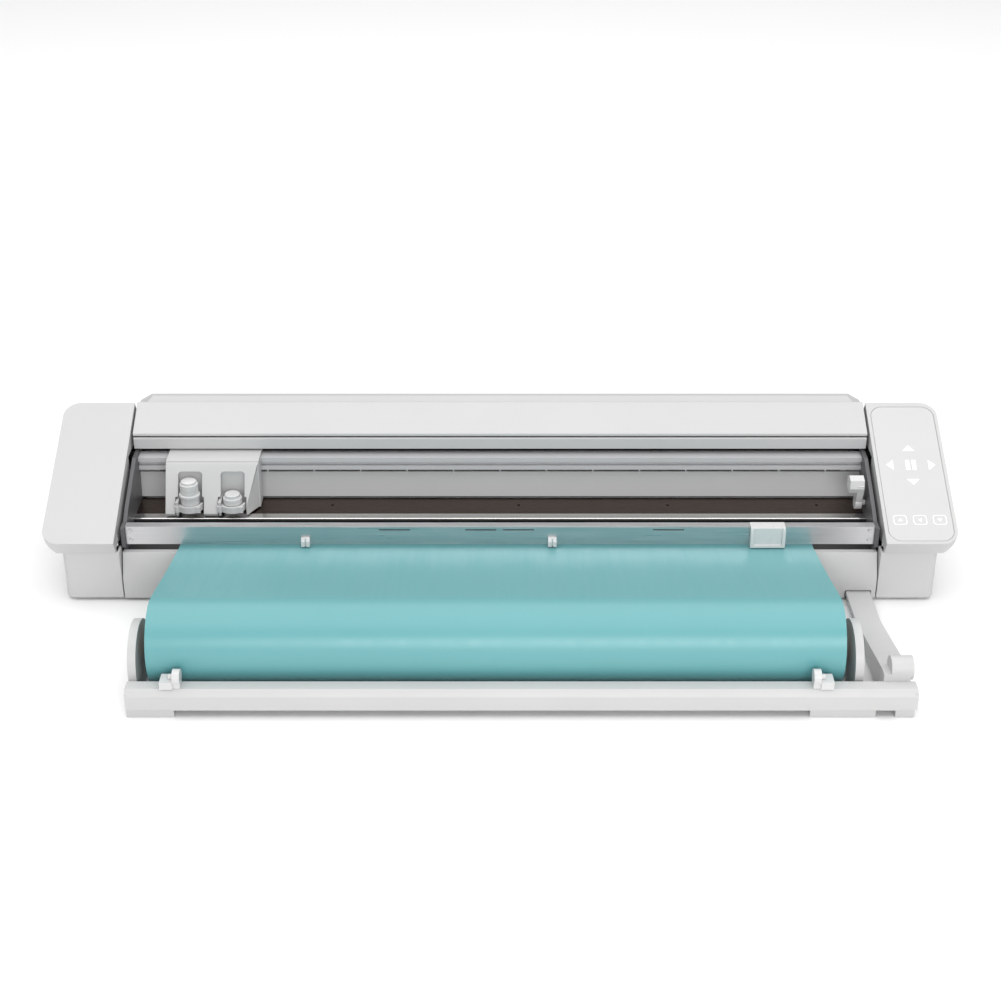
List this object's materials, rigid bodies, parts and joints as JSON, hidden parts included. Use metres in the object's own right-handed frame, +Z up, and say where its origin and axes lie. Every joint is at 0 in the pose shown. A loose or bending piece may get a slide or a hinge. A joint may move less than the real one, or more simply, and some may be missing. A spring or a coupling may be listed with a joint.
{
  "type": "vinyl cutter",
  "caption": "Wide desktop vinyl cutter with sloping end caps, touch panel, tool carriage, crosscutter and a pull-out feeder holding a roll of vinyl.",
  "frame": {"origin": "on the desk under the centre of the whole object's box, feeder pulled out", "axes": "+X to the operator's right, +Y to the machine's back, +Z up"},
  "size_m": [0.94, 0.41, 0.1575],
  "materials": {
    "shell_white": "fine satin texture",
    "shell_grey": "fine satin texture",
    "panel_white": "smooth satin overlay",
    "icon_white": "smooth white",
    "tool_white": "semi-gloss",
    "extruded_metal": "brushed along its length",
    "beam_paint": "satin light grey",
    "frame_metal": "satin",
    "platen_dark": "semi-gloss",
    "bright_strip": "polished",
    "steel": "ground",
    "black_plastic": "matte",
    "rubber_black": "matte",
    "bush_brass": "machined",
    "gear_plastic": "natural acetal",
    "board_green": "solder mask",
    "core_card": "kraft board",
    "vinyl_teal": "satin vinyl film"
  },
  "bodies": {
    "chassis": {"base_tray": "shell_grey", "left_pod": "shell_white", "right_pod": "shell_white", "apron": "shell_grey", "rubber_feet": "rubber_black", "left_cap": "shell_white", "right_cap": "shell_white", "control_panel": "panel_white", "touch_icons": "icon_white", "top_cover": "shell_white", "visor": "shell_grey", "rear_cover": "shell_grey", "left_side_frame": "frame_metal", "right_side_frame": "frame_metal", "roller_bushes": "bush_brass", "rail_beam": "beam_paint", "back_wall": "shell_grey", "platen": "platen_dark", "cutting_strip": "bright_strip", "media_trough": "black_plastic", "front_ledge": "extruded_metal", "ledge_screws": "steel", "feed_motor": "black_plastic", "carriage_motor": "black_plastic", "pulley_brackets": "frame_metal", "timing_belt": "rubber_black", "media_clips": "tool_white", "main_board": "board_green", "power_supply": "frame_metal", "power_inlet": "black_plastic", "data_port": "black_plastic", "vinyl_web": "vinyl_teal"},
    "feeder": {"front_rail": "shell_white", "rail_feet": "shell_grey", "left_arm": "shell_white", "right_arm": "shell_white", "right_cradle": "shell_white"},
    "front_support": {"front_support_roller": "steel"},
    "rear_support": {"rear_support_roller": "steel"},
    "roll": {"roll_core": "core_card", "vinyl_roll": "vinyl_teal"},
    "left_guide": {"left_roll_guide": "tool_white"},
    "right_guide": {"right_roll_guide": "tool_white"},
    "carriage": {"carriage_body": "shell_white", "carriage_cover": "shell_white"},
    "left_tool": {"blade_holder": "tool_white"},
    "right_tool": {"second_tool": "tool_white"},
    "left_tool_clamp": {"left_clamp": "tool_white"},
    "right_tool_clamp": {"right_clamp": "tool_white"},
    "roller_shaft": {"drive_roller": "steel", "feed_gear": "gear_plastic"},
    "pinion": {"feed_pinion": "bush_brass"},
    "x_pulley": {"drive_pulley": "steel"},
    "x_idler": {"idler_pulley": "steel"},
    "pinch_bar": {"pinch_frame": "frame_metal"},
    "pinch_set": {"pinch_rollers": "rubber_black"},
    "media_lever": {"pinch_lever": "tool_white"},
    "cutter_sled": {"crosscutter": "tool_white"}
  },
  "joints": [
    {"name": "feeder_slide", "type": "slide", "parent": "chassis", "child": "feeder", "axis": [0, 1, 0], "range_m": [0, 0.045], "deforming": ["vinyl_web"]},
    {"name": "front_support_spin", "type": "hinge", "parent": "feeder", "child": "front_support", "pos_m": [-0.004, -0.16981, 0.008], "axis": [1, 0, 0], "continuous": true},
    {"name": "rear_support_spin", "type": "hinge", "parent": "feeder", "child": "rear_support", "pos_m": [-0.004, -0.11019, 0.008], "axis": [1, 0, 0], "continuous": true},
    {"name": "roll_spin", "type": "hinge", "parent": "feeder", "child": "roll", "pos_m": [-0.004, -0.14, 0.046], "axis": [1, 0, 0], "continuous": true},
    {"name": "left_guide_slide", "type": "slide", "parent": "feeder", "child": "left_guide", "axis": [1, 0, 0], "range_m": [0, 0.25]},
    {"name": "right_guide_slide", "type": "slide", "parent": "feeder", "child": "right_guide", "axis": [1, 0, 0], "range_m": [-0.25, 0]},
    {"name": "carriage_slide", "type": "slide", "parent": "chassis", "child": "carriage", "axis": [1, 0, 0], "range_m": [-0.012, 0.61]},
    {"name": "left_tool_lift", "type": "slide", "parent": "carriage", "child": "left_tool", "axis": [0, 0, 1], "range_m": [-0.003, 0], "stiffness_N_per_m": 600, "springref_m": 0.003},
    {"name": "right_tool_lift", "type": "slide", "parent": "carriage", "child": "right_tool", "axis": [0, 0, 1], "range_m": [-0.003, 0], "stiffness_N_per_m": 600, "springref_m": 0.003},
    {"name": "left_clamp_swing", "type": "hinge", "parent": "carriage", "child": "left_tool_clamp", "pos_m": [-0.341, 0.072, 0.074], "axis": [0, 0, 1], "range_deg": [-80, 0]},
    {"name": "right_clamp_swing", "type": "hinge", "parent": "carriage", "child": "right_tool_clamp", "pos_m": [-0.296, 0.072, 0.074], "axis": [0, 0, 1], "range_deg": [-80, 0]},
    {"name": "drive_roller_spin", "type": "hinge", "parent": "chassis", "child": "roller_shaft", "pos_m": [0, 0.134, 0.054], "axis": [1, 0, 0], "continuous": true},
    {"name": "feed_pinion_spin", "type": "hinge", "parent": "chassis", "child": "pinion", "pos_m": [0.404, 0.158, 0.054], "axis": [1, 0, 0], "continuous": true},
    {"name": "drive_pulley_spin", "type": "hinge", "parent": "chassis", "child": "x_pulley", "pos_m": [-0.43, 0.145, 0.107], "axis": [0, 0, 1], "range_deg": [-6000, 6000]},
    {"name": "idler_pulley_spin", "type": "hinge", "parent": "chassis", "child": "x_idler", "pos_m": [0.43, 0.145, 0.107], "axis": [0, 0, 1], "range_deg": [-6000, 6000]},
    {"name": "media_lever_turn", "type": "hinge", "parent": "chassis", "child": "media_lever", "pos_m": [0.38, 0.084, 0.076], "axis": [1, 0, 0], "range_deg": [0, 50]},
    {"name": "pinch_bar_tilt", "type": "hinge", "parent": "chassis", "child": "pinch_bar", "pos_m": [0, 0.168, 0.084], "axis": [1, 0, 0], "range_deg": [-5, 0]},
    {"name": "pinch_rollers_spin", "type": "hinge", "parent": "pinch_bar", "child": "pinch_set", "pos_m": [0, 0.134, 0.0688], "axis": [1, 0, 0], "continuous": true},
    {"name": "crosscutter_slide", "type": "slide", "parent": "chassis", "child": "cutter_sled", "axis": [1, 0, 0], "range_m": [-0.19, 0.085]}
  ],
  "couplings": [
    {"joint": "front_support_spin", "follows": "roll_spin", "ratio": -7},
    {"joint": "rear_support_spin", "follows": "roll_spin", "ratio": -7},
    {"joint": "feed_pinion_spin", "follows": "drive_roller_spin", "ratio": -3},
    {"joint": "drive_pulley_spin", "follows": "carriage_slide", "rad_per_m": 129.03},
    {"joint": "idler_pulley_spin", "follows": "carriage_slide", "rad_per_m": 129.03},
    {"joint": "pinch_bar_tilt", "follows": "media_lever_turn", "ratio": -0.1}
  ]
}
